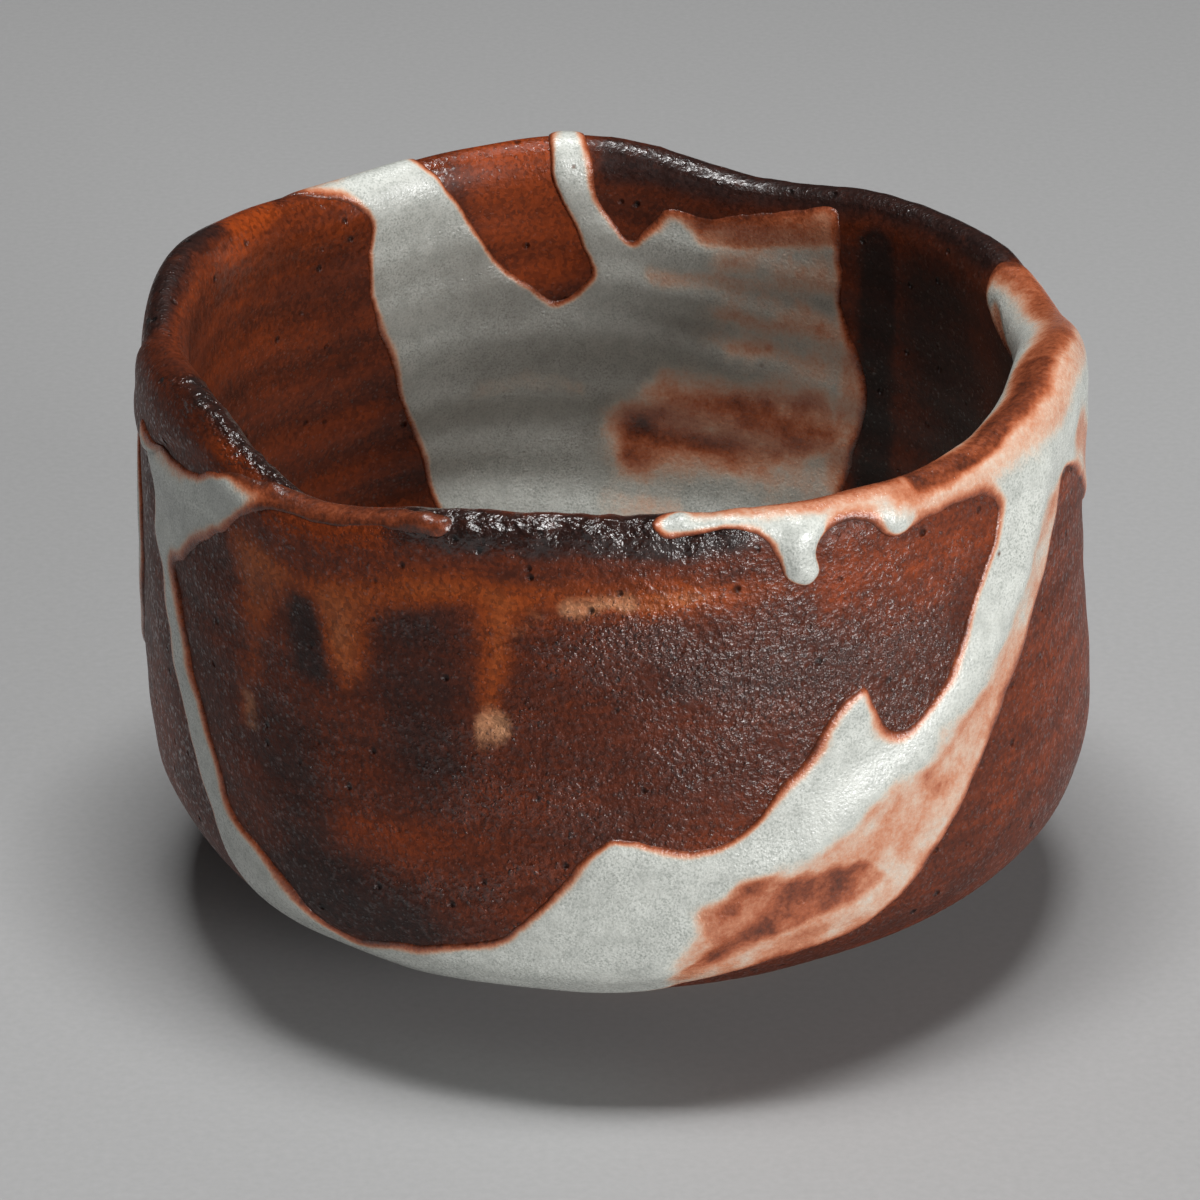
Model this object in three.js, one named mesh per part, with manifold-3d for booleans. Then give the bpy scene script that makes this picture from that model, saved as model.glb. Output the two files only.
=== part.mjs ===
// Tea bowl: a thrown clay body on a luted foot ring, with thick glaze poured over it in separate runs.
// Millimetres, +Z up. The bowl stands on Z = 0 and was turned about the Z axis; its front faces -Y.
import * as THREE from 'three';
import { mergeVertices } from 'three/addons/utils/BufferGeometryUtils.js';
import { TessellateModifier } from 'three/addons/modifiers/TessellateModifier.js';
import Module from 'manifold-3d';

// Foot ring
const FOOT_HEIGHT = 6;            // table to the body's underside
const FOOT_RADIUS = 28.5;         // outside edge of the standing face
const FOOT_WIDTH = 6;             // width of the standing face
const FOOT_FLARE = 1.2;           // how much the ring widens on each side up to the body
const FOOT_BEVEL = 0.8;           // pared edges of the standing face

// Body, outside: each height is a rise from the underside or a drop from the lip's crest
const BODY_HEIGHT = 73.5;         // underside to the lip's crest, before the rim's rise and fall
const SEAT_RADIUS = 32;           // flat underside that the foot ring is luted to
const UNDER_RADIUS = 42;          // start of the curve under the bowl
const UNDER_RISE = 1.6;
const HEEL_RADIUS = 51.7;         // where the wall turns up
const HEEL_RISE = 6;
const TURN_RADIUS = 59.4;         // end of that turn
const TURN_RISE = 14;
const BELLY_RADIUS = 61.5;        // widest ring of the wall
const BELLY_RISE = 27;
const COLLAR_RADIUS = 61;         // upright collar under the lip
const COLLAR_DROP = 19.5;

// Lip and walls
const LIP_RADIUS = 57.3;          // axis to the lip's crest
const LIP_THICKNESS = 6.3;
const LIP_DEPTH = 5;              // height of the rounded lip
const LIP_SWELL = 1.8;            // extra thickness, inwards, of the lip on the right
const LIP_SWELL_ANGLE = 80;       // degrees round from the front
const LIP_SWELL_SPREAD = 40;
const COLLAR_WALL = 6.2;
const BELLY_WALL = 7;
const HEEL_WALL = 12;             // thick clay left in the turn
const FLOOR_THICKNESS = 5.4;
const FLOOR_RISE = 4.6;           // how much the floor dishes up from its middle to the turn
const FLOOR_RADIUS = 40;

// Hand-shaped unevenness: values spaced evenly round the bowl from the back, through the left
const RIM_RISE = [4, 4, 2.5, 4, 5.5, 2, 2, -3.5, -0.5, 0.5, 0, 0, 1, 3, -1, 1, 1, -0.5];
const BELLY_PUSH = [0, 1, -0.5, 0.5, 0.5, 0.6, 2, -0.5];

// Glaze
const GLAZE_THICKNESS = 1.2;
const GLAZE_GAP = 0.3;            // clearance between the clay and the glaze's inner face
const GLAZE_SEAM = 0.5;           // clearance between two runs
const GLAZE_STOP = 20;            // bare clay left between the seat's edge and the lowest glaze
const OUTLINE_UNIT = 1;           // one unit along the wall in the runs' outlines
const POOL_RADIUS = 41;           // pool of glaze on the bowl's floor
const POOL_WAVE = 1.5;            // unevenness of the pool's edge

// Facets
const COLUMNS = 48;
const WALL_STEP = 7.5;            // longest facet along the wall
const LIP_STEPS = 3;              // facets on each half of the lip
const FOOT_SEGMENTS = 40;
const POOL_SEGMENTS = 24;
const CUT_STEP = 6;               // longest facet of a cutter
const CUT_REACH = 4;              // how far a cutter stands above the wall
const CUT_DEPTH = 1.5;            // how far a cutter sinks into the wall

const wasm = await Module();
wasm.setup();

// Section of the wall: two paths that both start at the lip's crest, one down each side
const point = (radius, height) => new THREE.Vector2(radius, height);
const crestHeight = FOOT_HEIGHT + BODY_HEIGHT;
const lipHeight = crestHeight - LIP_DEPTH;
const lipQuarter = (end) =>
  new THREE.EllipseCurve(LIP_RADIUS, lipHeight, LIP_THICKNESS / 2, LIP_DEPTH, Math.PI / 2, end, end < 1);

const outside = new THREE.CurvePath();
outside.add(lipQuarter(0));
outside.add(new THREE.SplineCurve([
  point(LIP_RADIUS + LIP_THICKNESS / 2, lipHeight),
  point(COLLAR_RADIUS, crestHeight - COLLAR_DROP),
  point(BELLY_RADIUS, FOOT_HEIGHT + BELLY_RISE),
  point(TURN_RADIUS, FOOT_HEIGHT + TURN_RISE),
  point(HEEL_RADIUS, FOOT_HEIGHT + HEEL_RISE),
  point(UNDER_RADIUS, FOOT_HEIGHT + UNDER_RISE),
  point(SEAT_RADIUS, FOOT_HEIGHT),
]));

const floorHeight = FOOT_HEIGHT + FLOOR_THICKNESS;
const inside = new THREE.CurvePath();
inside.add(lipQuarter(Math.PI));
inside.add(new THREE.SplineCurve([
  point(LIP_RADIUS - LIP_THICKNESS / 2, lipHeight),
  point(COLLAR_RADIUS - COLLAR_WALL, crestHeight - COLLAR_DROP),
  point(BELLY_RADIUS - BELLY_WALL, FOOT_HEIGHT + BELLY_RISE),
  point(TURN_RADIUS - HEEL_WALL, floorHeight + 2 * FLOOR_RISE),
  point(FLOOR_RADIUS, floorHeight + FLOOR_RISE),
  point(FLOOR_RADIUS / 2, floorHeight + FLOOR_RISE / 3),
  point(0, floorHeight),
]));

// A place along the wall is its distance from the crest: below 0 outside, above 0 inside
function sectionPoint(along) {
  const path = along < 0 ? outside : inside;
  return path.getPoint(Math.min(Math.abs(along) / path.getLength(), 1));
}

// Smooth closed curve through evenly spaced values, read at an angle in degrees from the front
function aroundRim(values, degrees) {
  const count = values.length;
  const place = (degrees / 360 + 0.5) * count;
  const first = Math.floor(place);
  const t = place - first;
  const [a, b, c, d] = [-1, 0, 1, 2].map((step) => values[(((first + step) % count) + count) % count]);
  return b + 0.5 * t * (c - a + t * (2 * a - 5 * b + 4 * c - d + t * (3 * b - a - 3 * c + d)));
}

// Point of the wall, with the rim's rise, the belly's push and the lip's swell
function wallPoint(degrees, along) {
  const { x: radius, y: height } = sectionPoint(along);
  const smooth = THREE.MathUtils.smoothstep;
  const rise = aroundRim(RIM_RISE, degrees) * smooth(height, floorHeight + FLOOR_RISE, crestHeight);
  const lower = 1 - smooth(height, FOOT_HEIGHT + TURN_RISE, FOOT_HEIGHT + 2 * BELLY_RISE);
  const shaped = smooth(height, FOOT_HEIGHT, FOOT_HEIGHT + HEEL_RISE) * smooth(radius, 0, SEAT_RADIUS);
  const push = aroundRim(BELLY_PUSH, degrees) * lower * shaped;
  const turn = THREE.MathUtils.euclideanModulo(degrees - LIP_SWELL_ANGLE + 180, 360) - 180;
  const nearSwell = 1 - smooth(Math.abs(turn), 0, LIP_SWELL_SPREAD);
  const swell = along > 0 ? nearSwell * LIP_SWELL * smooth(along, 0, LIP_DEPTH)
    * smooth(height, crestHeight - COLLAR_DROP, lipHeight) : 0;
  const angle = THREE.MathUtils.degToRad(degrees);
  const r = radius + push - swell;
  return new THREE.Vector3(r * Math.sin(angle), -r * Math.cos(angle), height + rise);
}

// Point that stands off the wall by a height along its normal
function standOff(degrees, along, height) {
  const base = wallPoint(degrees, along);
  if (along >= inside.getLength()) return base.add(new THREE.Vector3(0, 0, height));
  const small = 0.2;
  const round = wallPoint(degrees + small, along).sub(wallPoint(degrees - small, along));
  const inward = wallPoint(degrees, along + small).sub(wallPoint(degrees, along - small));
  return base.addScaledVector(round.cross(inward).normalize(), height);
}

// Closed mesh from vertices and triangles
function meshGeometry(vertices, triangles) {
  const geometry = new THREE.BufferGeometry();
  geometry.setAttribute('position', new THREE.Float32BufferAttribute(vertices, 3));
  geometry.setIndex(triangles);
  return geometry;
}

function toSolid(geometry) {
  geometry.deleteAttribute('normal');
  geometry.deleteAttribute('uv');
  const merged = mergeVertices(geometry, 1e-3);
  return new wasm.Manifold(new wasm.Mesh({
    numProp: 3,
    vertProperties: new Float32Array(merged.attributes.position.array),
    triVerts: new Uint32Array(merged.index.array),
  }));
}

function fromSolid(solid) {
  const { vertProperties, triVerts } = solid.getMesh();
  return meshGeometry(Array.from(vertProperties), Array.from(triVerts));
}

// Places along the wall where its facets meet, from the seat's edge, over the lip, to the floor's middle
function wallStations() {
  const steps = (from, to, count) => Array.from({ length: count }, (_, i) => from + ((to - from) * i) / count);
  const outer = outside.getLength();
  const inner = inside.getLength();
  const [lipOut] = outside.getCurveLengths();
  const [lipIn] = inside.getCurveLengths();
  return [
    ...steps(-outer, -lipOut, Math.ceil((outer - lipOut) / WALL_STEP)),
    ...steps(-lipOut, 0, LIP_STEPS),
    ...steps(0, lipIn, LIP_STEPS),
    ...steps(lipIn, inner, Math.ceil((inner - lipIn) / WALL_STEP)),
  ];
}

const degreesOf = (column) => (column * 360) / COLUMNS - 180;

// Rings of vertices joined into a skin; the last ring closes on a single point
function ringSkin(rings, tip, vertices, triangles, flipped) {
  const start = vertices.length / 3;
  rings.flat().forEach((p) => vertices.push(p.x, p.y, p.z));
  vertices.push(tip.x, tip.y, tip.z);
  const face = (a, b, c) => (flipped ? triangles.push(a, c, b) : triangles.push(a, b, c));
  const at = (ring, column) => start + ring * COLUMNS + (column % COLUMNS);
  const last = rings.length - 1;
  for (let column = 0; column < COLUMNS; column += 1) {
    for (let ring = 0; ring < last; ring += 1) {
      face(at(ring, column), at(ring, column + 1), at(ring + 1, column + 1));
      face(at(ring, column), at(ring + 1, column + 1), at(ring + 1, column));
    }
    face(at(last, column), at(last, column + 1), start + rings.length * COLUMNS);
  }
  return start;
}

function wallRings(stations, height) {
  return stations.map((along) =>
    Array.from({ length: COLUMNS }, (_, column) => standOff(degreesOf(column), along, height)));
}

// Clay body: the wall's whole skin, closed by the flat underside
function clayBody() {
  const vertices = [];
  const triangles = [];
  const tip = standOff(0, inside.getLength(), 0);
  const rings = wallRings(wallStations(), 0);
  rings[0].forEach((p) => p.setZ(FOOT_HEIGHT));
  const start = ringSkin(rings, tip, vertices, triangles, false);
  const middle = vertices.length / 3;
  vertices.push(0, 0, FOOT_HEIGHT);
  for (let column = 0; column < COLUMNS; column += 1) {
    triangles.push(start + ((column + 1) % COLUMNS), start + column, middle);
  }
  return meshGeometry(vertices, triangles);
}

// Coat: a shell of glaze over the whole wall, from which each run is cut
function glazeCoat() {
  const vertices = [];
  const triangles = [];
  const inner = inside.getLength();
  const lowest = GLAZE_STOP - outside.getLength();
  const stations = wallStations().filter((along) => along > lowest);
  const top = GLAZE_GAP + GLAZE_THICKNESS;
  const over = ringSkin(wallRings(stations, top), standOff(0, inner, top), vertices, triangles, false);
  const under = ringSkin(wallRings(stations, GLAZE_GAP), standOff(0, inner, GLAZE_GAP), vertices, triangles, true);
  for (let column = 0; column < COLUMNS; column += 1) {
    const next = (column + 1) % COLUMNS;
    triangles.push(over + column, under + column, under + next);
    triangles.push(over + column, under + next, over + next);
  }
  return toSolid(meshGeometry(vertices, triangles));
}

// Cutter: an outline drawn on the unrolled wall as [degrees, along], extruded and wrapped round the bowl
const straight = (points) => ({ points, isStraight: true });
const curved = (...points) => ({ points, isStraight: false });

const perDegree = THREE.MathUtils.degToRad(BELLY_RADIUS);

function wrappedCutter(stretches) {
  const drawn = ([degrees, along]) => point(degrees * perDegree, along * OUTLINE_UNIT);
  const shape = new THREE.Shape();
  shape.currentPoint.copy(drawn(stretches[0].points[0]));
  stretches.forEach(({ points, isStraight }, i) => {
    const next = stretches[(i + 1) % stretches.length].points[0];
    const path = (i === 0 ? points.slice(1) : points).map(drawn);
    if (isStraight) path.forEach((p) => shape.lineTo(p.x, p.y));
    else shape.splineThru([...path, drawn(next)]);
  });
  const flat = new THREE.ExtrudeGeometry(shape, {
    depth: CUT_DEPTH + CUT_REACH,
    bevelEnabled: false,
    curveSegments: 2,
  });
  const fine = new TessellateModifier(CUT_STEP, 16).modify(flat);
  const position = fine.attributes.position;
  for (let i = 0; i < position.count; i += 1) {
    const degrees = position.getX(i) / perDegree;
    const wrapped = standOff(degrees, position.getY(i), position.getZ(i) - CUT_DEPTH);
    position.setXYZ(i, wrapped.x, wrapped.y, wrapped.z);
  }
  return toSolid(fine);
}

// Cutter for the pool: a wavy disc extruded up through the floor
function poolCutter(radius) {
  const edge = Array.from({ length: POOL_SEGMENTS }, (_, i) => {
    const angle = (i / POOL_SEGMENTS) * 2 * Math.PI;
    const r = radius + POOL_WAVE * Math.sin(3 * angle) * Math.cos(2 * angle);
    return point(r * Math.cos(angle), r * Math.sin(angle));
  });
  const depth = FLOOR_THICKNESS / 2 + BODY_HEIGHT / 2;
  const disc = new THREE.ExtrudeGeometry(new THREE.Shape(edge), { depth, bevelEnabled: false });
  disc.translate(0, 0, FOOT_HEIGHT + FLOOR_THICKNESS / 2);
  return toSolid(disc);
}

// Edges shared by two runs
const sweepTop = [[53, -9], [60, -10.5], [68, -12]];
const heelEdge = [[-26, -63], [-27, -69], [-29, -73]];
const shoulderEdge = [[-71, -16.5], [-68, -19], [-63, -21]];
const below = ([degrees, along]) => [degrees, along - GLAZE_SEAM / OUTLINE_UNIT];
const leftOf = ([degrees, along]) => [degrees - GLAZE_SEAM / perDegree, along];

// Outlines of the runs: [degrees round from the front, units along the wall from the crest]
const outlines = {
  glaze_front_sweep: [
    straight(sweepTop.map(below).reverse()),
    curved(
      [50, -14], [46, -20.5], [42.5, -27], [38.5, -31], [35, -32.8], [32.8, -31], [31.2, -27.2], [29.5, -25.6],
      [26, -28], [21, -35], [16.5, -41], [12, -44], [7.5, -44], [1, -42], [-2, -44], [-6, -49],
      [-10.5, -55], [-14, -58], [-20, -60],
    ),
    straight(heelEdge),
    curved(
      [-12, -75], [4, -72], [14, -66], [22, -63.5], [30, -61.5], [36, -57], [42, -50.5], [46.5, -44], [51, -37.5],
      [57, -30.5], [62, -24.5], [65, -19],
    ),
  ],
  glaze_left_run: [
    straight(shoulderEdge.map(below)),
    curved(
      [-63.5, -24], [-60.5, -29], [-57.5, -36], [-52.5, -44.5], [-49.5, -50], [-44, -53.5], [-40.5, -57],
      [-37.5, -61.5], [-33, -64],
    ),
    straight(heelEdge.map(leftOf)),
    curved(
      [-38, -72.5], [-45, -67.5], [-49.5, -62.5], [-53.5, -56.5], [-57, -49.5], [-60, -43], [-63, -37],
      [-65.5, -31], [-68, -25.5], [-70.5, -21],
    ),
  ],
  glaze_side_run: [
    curved(
      [-82, -22], [-80, -29], [-80, -37], [-83, -43], [-88, -46], [-93, -41], [-98, -38], [-101, -30], [-98, -22],
      [-90, -17],
    ),
  ],
  glaze_left_rim: [
    straight([...shoulderEdge].reverse()),
    curved(
      [-74.5, -12.5], [-75, -9], [-70, -10], [-63, -10.5], [-57.5, -8.5], [-54, -5.5], [-48, -2], [-42, 0.5],
      [-34, 0.8], [-26, -0.2], [-20, -1.2], [-19, -2.4], [-21, -3.4], [-30, -2.8], [-40, -2.6], [-45, -4.5],
      [-49, -8.5], [-52, -12.5], [-57, -17.5],
    ),
  ],
  glaze_rim_run: [
    straight(sweepTop),
    curved(
      [75, -17], [82, -22.5], [89, -26], [96, -24], [102, -17], [108, -8], [112, -1], [113, 4], [110, 7.5],
      [98, 9.5], [82, 10], [66, 8], [56, 4.5], [44, 2], [28, 1.5], [12, 1], [6.5, 0.2], [5, -1.5], [6, -3.2],
      [9, -3.2], [14, -2.6], [17, -4], [19, -7], [20.3, -9.8], [22.5, -10.9], [24.4, -9.3], [24.2, -6],
      [26.5, -3.9], [30, -4.2], [32.5, -6.6], [35, -7.2], [39.5, -6.2], [44, -6], [49, -7],
    ),
  ],
  glaze_inner_panel: [
    curved(
      [-134, 0.8], [-139.5, 3.5], [-142.5, 7], [-142, 12], [-143, 18], [-147, 31], [-150.5, 41], [-152.5, 50],
      [-155, 62], [-160, 84], [-180, 86], [-204, 84], [-212, 62], [-216.5, 45], [-219, 37], [-220, 31],
      [-218.5, 25], [-216, 19], [-215.5, 12], [-215, 4], [-208, 4], [-200, 6], [-194, 8.3], [-188.5, 8.5],
      [-186, 11.5], [-183, 14.7], [-180.5, 12.5], [-177.5, 7.5], [-176, 1.2], [-171.5, 1.2], [-171.5, 7],
      [-174, 13], [-177, 19], [-176, 21.5], [-172, 24], [-168, 21.5], [-163.5, 17.5], [-160, 12.5], [-156, 6],
      [-151, 1.2], [-143, 0.8],
    ),
  ],
  glaze_back_run: [
    curved(
      [-150, -0.8], [-142, -0.8], [-134, -1], [-126, -9], [-121, -22], [-117, -36], [-112, -45], [-113, -51],
      [-118, -52], [-124, -49], [-130, -53], [-138, -62], [-147, -66], [-153, -61], [-157, -49], [-162, -41],
      [-167, -45], [-172, -45], [-174, -39], [-171, -28], [-163, -16], [-156, -7],
    ),
  ],
};

// Foot ring: an even wall that flares up to the body, with pared edges below
function footRing() {
  const inner = FOOT_RADIUS - FOOT_WIDTH;
  const section = [
    point(FOOT_RADIUS - FOOT_BEVEL, 0),
    point(FOOT_RADIUS, FOOT_BEVEL),
    point(FOOT_RADIUS + FOOT_FLARE, FOOT_HEIGHT),
    point(inner - FOOT_FLARE, FOOT_HEIGHT),
    point(inner, FOOT_BEVEL),
    point(inner + FOOT_BEVEL, 0),
    point(FOOT_RADIUS - FOOT_BEVEL, 0),
  ];
  const ring = new THREE.LatheGeometry(section, FOOT_SEGMENTS);
  return ring.rotateX(Math.PI / 2);
}

const clay = new THREE.MeshStandardMaterial({ color: 0x6b3020, roughness: 0.62, metalness: 0 });
const bareClay = new THREE.MeshStandardMaterial({ color: 0x83503a, roughness: 0.85, metalness: 0 });
const glaze = new THREE.MeshStandardMaterial({ color: 0xc9c8c0, roughness: 0.4, metalness: 0 });

const bowl = new THREE.Group();
function addPiece(name, geometry, material) {
  const mesh = new THREE.Mesh(geometry, material);
  mesh.name = name;
  bowl.add(mesh);
}

addPiece('clay_body', clayBody(), clay);
addPiece('foot_ring', footRing(), bareClay);

const coat = glazeCoat();
const pool = poolCutter(POOL_RADIUS);
const poolSeam = poolCutter(POOL_RADIUS + GLAZE_SEAM);
for (const [name, outline] of Object.entries(outlines)) {
  const run = coat.intersect(wrappedCutter(outline)).subtract(poolSeam);
  addPiece(name, fromSolid(run), glaze);
}
addPiece('glaze_inner_pool', fromSolid(coat.intersect(pool)), glaze);

export default bowl;
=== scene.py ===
import bpy
import numpy as np
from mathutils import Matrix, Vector


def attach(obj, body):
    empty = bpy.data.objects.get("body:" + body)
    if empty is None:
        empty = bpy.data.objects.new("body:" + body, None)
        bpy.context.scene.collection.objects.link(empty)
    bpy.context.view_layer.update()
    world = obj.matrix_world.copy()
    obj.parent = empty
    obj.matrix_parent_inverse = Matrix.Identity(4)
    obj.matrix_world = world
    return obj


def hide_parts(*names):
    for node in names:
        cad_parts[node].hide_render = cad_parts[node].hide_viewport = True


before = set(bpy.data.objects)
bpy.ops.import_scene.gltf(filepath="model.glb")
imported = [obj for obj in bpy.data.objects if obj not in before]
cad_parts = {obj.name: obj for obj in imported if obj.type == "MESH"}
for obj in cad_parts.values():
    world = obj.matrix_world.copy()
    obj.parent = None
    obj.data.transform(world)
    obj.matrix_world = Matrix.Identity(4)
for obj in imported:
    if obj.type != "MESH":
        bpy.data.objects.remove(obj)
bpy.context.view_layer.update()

# Tea bowl: red-brown clay under thick pale glaze runs.
# Lengths are millimetres until a mesh is made; looks, floor and lamps are in metres.
# A place on the wall is (degrees round from the front, millimetres along the wall from the lip's crest:
# below 0 outside, above 0 inside).

metre = 0.001

# Section of the wall, the same sizes as the solids
wall = dict(
    footHeight=6.0, bodyHeight=73.5, seatRadius=32.0, underRadius=42.0, underRise=1.6,
    heelRadius=51.7, heelRise=6.0, turnRadius=59.4, turnRise=14.0, bellyRadius=61.5, bellyRise=27.0,
    collarRadius=61.0, collarDrop=19.5, lipRadius=57.3, lipThickness=6.3, lipDepth=5.0,
    lipSwell=1.8, lipSwellAngle=80.0, lipSwellSpread=40.0, collarWall=6.2, bellyWall=7.0, heelWall=12.0,
    floorThickness=5.4, floorRise=4.6, floorRadius=40.0,
    rimRise=[4, 4, 2.5, 4, 5.5, 2, 2, -3.5, -0.5, 0.5, 0, 0, 1, 3, -1, 1, 1, -0.5],
    bellyPush=[0, 1, -0.5, 0.5, 0.5, 0.6, 2, -0.5],
    lipSteps=40, spanSteps=60,  # points on a quarter of the lip and on each span
)
crestHeight = wall["footHeight"] + wall["bodyHeight"]
lipHeight = crestHeight - wall["lipDepth"]
collarHeight = crestHeight - wall["collarDrop"]
floorHeight = wall["footHeight"] + wall["floorThickness"]
perDegree = np.radians(wall["bellyRadius"])  # millimetres of belly in one degree
tiny = 1e-12  # keeps a division off zero


def smooth(x, low, high):  # 3t^2 - 2t^3, with t going from 0 at low to 1 at high
    t = np.clip((x - low) / (high - low), 0, 1)
    return t * t * (3 - 2 * t)


def cubic(a, b, c, d, t):  # Catmull-Rom: the cubic from b to c with slopes (c - a)/2 and (d - b)/2
    return b + 0.5 * t * (c - a + t * (2 * a - 5 * b + 4 * c - d + t * (3 * b - a - 3 * c + d)))


def throughPoints(points, steps, closed=False):  # smooth line through points, steps to a span
    p = np.array(points, float)
    p = np.vstack([p[-1], p, p[:2]]) if closed else np.vstack([p[0], p, p[-1]])
    t = np.linspace(0, 1, steps, endpoint=False)[None, :, None]
    a, b, c, d = (p[k:len(p) - 3 + k, None] for k in range(4))
    line = cubic(a, b, c, d, t).reshape(-1, p.shape[1])
    return line if closed else np.vstack([line, p[-1]])


def aroundRim(values, deg):  # closed smooth curve through values spaced evenly from the back
    v = np.array(values, float)
    place = (deg / 360 + 0.5) * len(v)
    first = np.floor(place).astype(int)
    a, b, c, d = (v[(first + k) % len(v)] for k in (-1, 0, 1, 2))
    return cubic(a, b, c, d, place - first)


def lengthsAlong(line):  # running length at each point of a line, from 0
    return np.r_[0, np.cumsum(np.hypot(*np.diff(line, axis=0).T))]


def sectionLine():  # (along, radius, height): quarter ellipses at the lip, smooth lines down each side
    w, seat = wall, wall["footHeight"]
    half = w["lipThickness"] / 2
    quarter = np.linspace(0, np.pi / 2, w["lipSteps"])[:, None]
    lip = np.hstack([half * np.sin(quarter), w["lipDepth"] * np.cos(quarter)])
    outer = throughPoints([
        (w["lipRadius"] + half, lipHeight), (w["collarRadius"], collarHeight),
        (w["bellyRadius"], seat + w["bellyRise"]), (w["turnRadius"], seat + w["turnRise"]),
        (w["heelRadius"], seat + w["heelRise"]), (w["underRadius"], seat + w["underRise"]),
        (w["seatRadius"], seat)], w["spanSteps"])
    inner = throughPoints([
        (w["lipRadius"] - half, lipHeight), (w["collarRadius"] - w["collarWall"], collarHeight),
        (w["bellyRadius"] - w["bellyWall"], seat + w["bellyRise"]),
        (w["turnRadius"] - w["heelWall"], floorHeight + 2 * w["floorRise"]),
        (w["floorRadius"], floorHeight + w["floorRise"]),
        (w["floorRadius"] / 2, floorHeight + w["floorRise"] / 3), (0, floorHeight)], w["spanSteps"])
    crest = np.array([[w["lipRadius"], lipHeight]])
    outside = np.vstack([crest + lip, outer[1:], [[0, seat]]])
    inside = np.vstack([crest + lip * [-1, 1], inner[1:]])
    along = np.r_[-lengthsAlong(outside)[:0:-1], lengthsAlong(inside)]
    return np.column_stack([along, np.vstack([outside[:0:-1], inside])])


section = sectionLine()
alongUnder, alongFloor = section[0, 0], section[-1, 0]  # middle of the underside, middle of the floor
alongSeat = alongUnder + wall["seatRadius"]
print("section", len(section), "points, along", round(alongUnder, 1), "to", round(alongFloor, 1))

hashAxes = [np.uint32(k) for k in (374761393, 668265263, 2147483647)]  # a large odd number to each axis
hashSeed, hashMix = 1013904223, np.uint32(1274126177)


def valueNoise(p, size, seed):  # random values on a lattice of that size, blended smoothly, -1 to 1
    q = p / size
    cell = np.floor(q).astype(np.int64)
    share = smooth(q - cell, 0, 1)
    total = np.zeros(p.shape[:-1])
    for corner in range(8):
        offset = np.array([corner & 1, corner >> 1 & 1, corner >> 2])
        c = (cell + offset).astype(np.uint32)
        h = c[..., 0] * hashAxes[0] + c[..., 1] * hashAxes[1]
        h = h + c[..., 2] * hashAxes[2] + np.uint32(seed * hashSeed % 2**32)
        h = (h ^ (h >> np.uint32(13))) * hashMix
        h = h ^ (h >> np.uint32(16))
        total += np.prod(np.where(offset, share, 1 - share), -1) * (h / 2**31 - 1)
    return total


def noiseSum(p, layers):  # sum of amount x noise, over layers of (amount, size, seed)
    return sum(amount * valueNoise(p, size, seed) for amount, size, seed in layers)


def nearTurn(deg, middle):  # the same angle, written within half a turn of middle
    return middle + np.mod(deg - middle + 180, 360) - 180


def wallBase(deg, along):  # section turned about Z, with the rim's rise, belly's push and lip's swell
    w, seat = wall, wall["footHeight"]
    radius = np.interp(along, section[:, 0], section[:, 1])
    height = np.interp(along, section[:, 0], section[:, 2])
    rise = aroundRim(w["rimRise"], deg) * smooth(height, floorHeight + w["floorRise"], crestHeight)
    lower = 1 - smooth(height, seat + w["turnRise"], seat + 2 * w["bellyRise"])
    shaped = smooth(height, seat, seat + w["heelRise"]) * smooth(radius, 0, w["seatRadius"])
    turn = nearTurn(deg, w["lipSwellAngle"]) - w["lipSwellAngle"]
    swell = w["lipSwell"] * (1 - smooth(np.abs(turn), 0, w["lipSwellSpread"]))
    swell = swell * smooth(along, 0, w["lipDepth"]) * smooth(height, collarHeight, lipHeight)
    r = radius + aroundRim(w["bellyPush"], deg) * lower * shaped - swell
    angle = np.radians(deg)
    return np.stack([r * np.sin(angle), -r * np.cos(angle), height + rise], -1)


def lineDistance(deg, along, points):  # least distance, on the unrolled wall, to a line of points
    x, y = deg * perDegree, along
    line = np.array(points, float) * [perDegree, 1]
    best = np.full(np.shape(x), np.inf)
    for a, b in zip(line[:-1], line[1:]):
        d = b - a
        t = np.clip(((x - a[0]) * d[0] + (y - a[1]) * d[1]) / (d @ d + tiny), 0, 1)
        best = np.minimum(best, np.hypot(x - a[0] - t * d[0], y - a[1] - t * d[1]))
    return best


outlineSteps, outlineReach = 6, 6.0  # points to a span, and how far outside a distance is told


def insideDistance(deg, along, points):  # distance to a smooth closed outline, above 0 inside
    line = throughPoints(points, outlineSteps, closed=True)
    local = nearTurn(deg, (line[:, 0].min() + line[:, 0].max()) / 2)
    reach = np.array([outlineReach / perDegree, outlineReach])
    low, high = line.min(0) - reach, line.max(0) + reach
    near = (local > low[0]) & (local < high[0]) & (along > low[1]) & (along < high[1])
    distance = np.full(np.shape(deg), -outlineReach)
    x, y = local[near] * perDegree, along[near]
    loop = np.vstack([line, line[:1]])
    best = lineDistance(local[near], y, loop)
    crossings = np.zeros(x.shape, int)
    flat = loop * [perDegree, 1]
    for a, b in zip(flat[:-1], flat[1:]):  # inside, a level line from the point crosses an odd number
        spans = (a[1] > y) != (b[1] > y)
        rise = b[1] - a[1] if b[1] != a[1] else tiny
        crossings += spans & (x < a[0] + (y - a[1]) / rise * (b[0] - a[0]))
    distance[near] = np.where(crossings % 2 == 1, best, -best)
    return np.maximum(distance, -outlineReach)


bandCore, bandFade = 0.25, 1.5  # a band is full to the first and gone at the second, in half widths


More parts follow.
